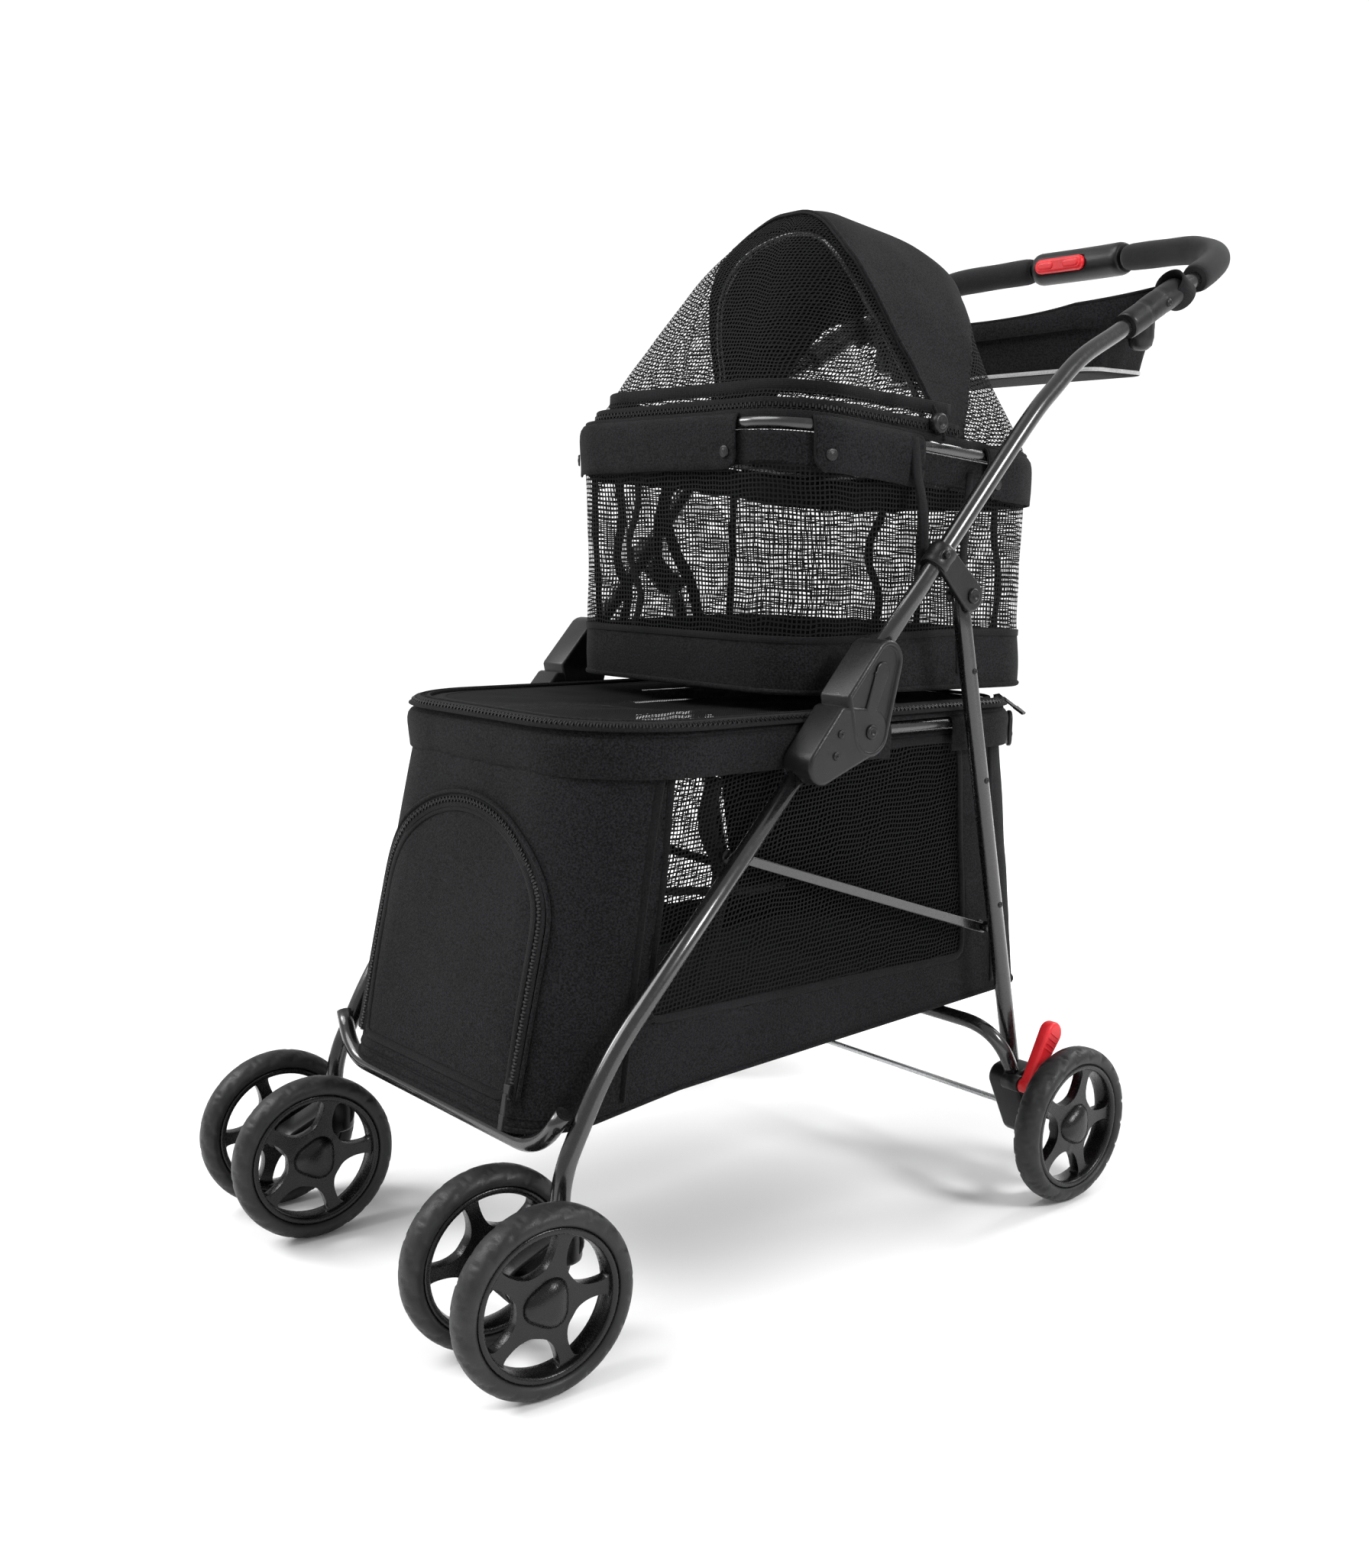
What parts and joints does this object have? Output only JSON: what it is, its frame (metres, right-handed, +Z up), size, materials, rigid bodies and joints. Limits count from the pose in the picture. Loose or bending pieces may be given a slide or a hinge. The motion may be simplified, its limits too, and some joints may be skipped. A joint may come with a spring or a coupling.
{
  "type": "folding pet stroller",
  "caption": "Two-tier folding pet stroller: lower basket with arched zipped fabric door and net windows, detachable net-sided upper carrier with zipped canopy, swivel twin casters, U-shaped handle and parent tray.",
  "frame": {"origin": "middle of the footprint, on the ground", "axes": "+Z up, -Y forward towards the casters, +X the stroller's left, millimetre source scaled to metres"},
  "size_m": [0.5436, 1.0085, 0.95],
  "materials": {
    "frame_tube": "gloss black enamel",
    "bright_steel": "bright zinc-plated steel",
    "plastic": "fine-grained charcoal-black plastic",
    "red_plastic": "smooth red plastic",
    "foam": "matte closed-cell foam",
    "tyre": "dark grey moulded tyre with grooves",
    "rim": "dark grey moulded five-spoke wheel",
    "fabric": "black woven polyester with bound seams",
    "mesh": "black net mesh"
  },
  "bodies": {
    "lower_frame": {"left_front_tube": "frame_tube", "right_front_tube": "frame_tube", "front_crossbar": "frame_tube", "left_fold_base": "plastic", "right_fold_base": "plastic", "left_fold_pin": "bright_steel", "right_fold_pin": "bright_steel", "lower_rim_tube": "frame_tube", "lower_basket_shell": "fabric", "lower_basket_floor": "fabric", "lower_top_cover": "mesh"},
    "front_door": {"front_door": "fabric"},
    "handle_frame": {"left_upper_tube": "frame_tube", "right_upper_tube": "frame_tube", "left_fold_cap": "plastic", "right_fold_cap": "plastic", "handlebar_tube": "frame_tube", "left_handle_socket": "plastic", "right_handle_socket": "plastic", "left_grip": "foam", "right_grip": "foam", "release_housing": "plastic", "left_leg_bracket": "plastic", "right_leg_bracket": "plastic", "parent_tray": "fabric"},
    "release_button": {"release_button": "red_plastic"},
    "rear_legs": {"left_rear_leg": "frame_tube", "right_rear_leg": "frame_tube", "left_leg_pin": "bright_steel", "right_leg_pin": "bright_steel", "left_leg_shoe": "plastic", "right_leg_shoe": "plastic", "rear_crossbar": "frame_tube", "rear_axle": "bright_steel"},
    "left_brake": {"left_brake_pedal": "red_plastic"},
    "right_brake": {"right_brake_pedal": "red_plastic"},
    "struts": {"left_strut": "frame_tube", "right_strut": "frame_tube"},
    "left_rear_wheel": {"left_rear_tyre": "tyre", "left_rear_rim": "rim"},
    "right_rear_wheel": {"right_rear_tyre": "tyre", "right_rear_rim": "rim"},
    "left_caster": {"left_caster_housing": "plastic", "left_caster_axle": "bright_steel"},
    "right_caster": {"right_caster_housing": "plastic", "right_caster_axle": "bright_steel"},
    "left_outer_front_wheel": {"left_caster_outer_tyre": "tyre", "left_caster_outer_rim": "rim"},
    "left_inner_front_wheel": {"left_caster_inner_tyre": "tyre", "left_caster_inner_rim": "rim"},
    "right_outer_front_wheel": {"right_caster_outer_tyre": "tyre", "right_caster_outer_rim": "rim"},
    "right_inner_front_wheel": {"right_caster_inner_tyre": "tyre", "right_caster_inner_rim": "rim"},
    "carrier": {"carrier_frame": "frame_tube", "carrier_shell": "mesh", "carrier_floor": "fabric"},
    "canopy": {"canopy": "fabric", "canopy_bow": "frame_tube"}
  },
  "joints": [
    {"name": "main_fold", "type": "hinge", "parent": "lower_frame", "child": "handle_frame", "pos_m": [0, -0.086, 0.471], "axis": [1, 0, 0], "range_deg": [-133, 0]},
    {"name": "leg_fold", "type": "hinge", "parent": "handle_frame", "child": "rear_legs", "pos_m": [0, 0.047, 0.581], "axis": [1, 0, 0], "range_deg": [0, 85.2]},
    {"name": "strut_fold", "type": "hinge", "parent": "lower_frame", "child": "struts", "pos_m": [0, -0.209, 0.374], "axis": [1, 0, 0], "range_deg": [-84.8, 0]},
    {"name": "left_rear_wheel_spin", "type": "hinge", "parent": "rear_legs", "child": "left_rear_wheel", "pos_m": [0.258, 0.159, 0.075], "axis": [1, 0, 0], "continuous": true},
    {"name": "right_rear_wheel_spin", "type": "hinge", "parent": "rear_legs", "child": "right_rear_wheel", "pos_m": [-0.258, 0.159, 0.075], "axis": [1, 0, 0], "continuous": true},
    {"name": "left_brake_press", "type": "hinge", "parent": "rear_legs", "child": "left_brake", "pos_m": [0.23, 0.127, 0.112], "axis": [1, 0, 0], "range_deg": [-30, 0]},
    {"name": "right_brake_press", "type": "hinge", "parent": "rear_legs", "child": "right_brake", "pos_m": [-0.23, 0.127, 0.112], "axis": [1, 0, 0], "range_deg": [-30, 0]},
    {"name": "left_caster_swivel", "type": "hinge", "parent": "lower_frame", "child": "left_caster", "pos_m": [0.18, -0.388, 0.1], "axis": [0, 0, 1], "continuous": true},
    {"name": "right_caster_swivel", "type": "hinge", "parent": "lower_frame", "child": "right_caster", "pos_m": [-0.18, -0.388, 0.1], "axis": [0, 0, 1], "continuous": true},
    {"name": "left_outer_front_wheel_spin", "type": "hinge", "parent": "left_caster", "child": "left_outer_front_wheel", "pos_m": [0.21958, -0.43238, 0.075], "axis": [0.9945, -0.1045, 0], "continuous": true},
    {"name": "left_inner_front_wheel_spin", "type": "hinge", "parent": "left_caster", "child": "left_inner_front_wheel", "pos_m": [0.13206, -0.42318, 0.075], "axis": [0.9945, -0.1045, 0], "continuous": true},
    {"name": "right_outer_front_wheel_spin", "type": "hinge", "parent": "right_caster", "child": "right_outer_front_wheel", "pos_m": [-0.22794, -0.42318, 0.075], "axis": [0.9945, -0.1045, 0], "continuous": true},
    {"name": "right_inner_front_wheel_spin", "type": "hinge", "parent": "right_caster", "child": "right_inner_front_wheel", "pos_m": [-0.14042, -0.43238, 0.075], "axis": [0.9945, -0.1045, 0], "continuous": true},
    {"name": "front_door_open", "type": "hinge", "parent": "lower_frame", "child": "front_door", "pos_m": [0, -0.392, 0.19], "axis": [1, 0, 0], "range_deg": [0, 95]},
    {"name": "carrier_lift_off", "type": "slide", "parent": "lower_frame", "child": "carrier", "axis": [0, 0, 1], "range_m": [0, 0.35]},
    {"name": "canopy_fold", "type": "hinge", "parent": "carrier", "child": "canopy", "pos_m": [0, 0.05, 0.733], "axis": [1, 0, 0], "range_deg": [-75, 0], "deforming": ["canopy"]},
    {"name": "release_button_press", "type": "slide", "parent": "handle_frame", "child": "release_button", "axis": [0, 1, 0], "range_m": [0, 0.0038], "stiffness_N_per_m": 500}
  ],
  "couplings": [
    {"joint": "leg_fold", "follows": "main_fold", "ratio": -0.64},
    {"joint": "strut_fold", "follows": "main_fold", "ratio": 0.637}
  ]
}
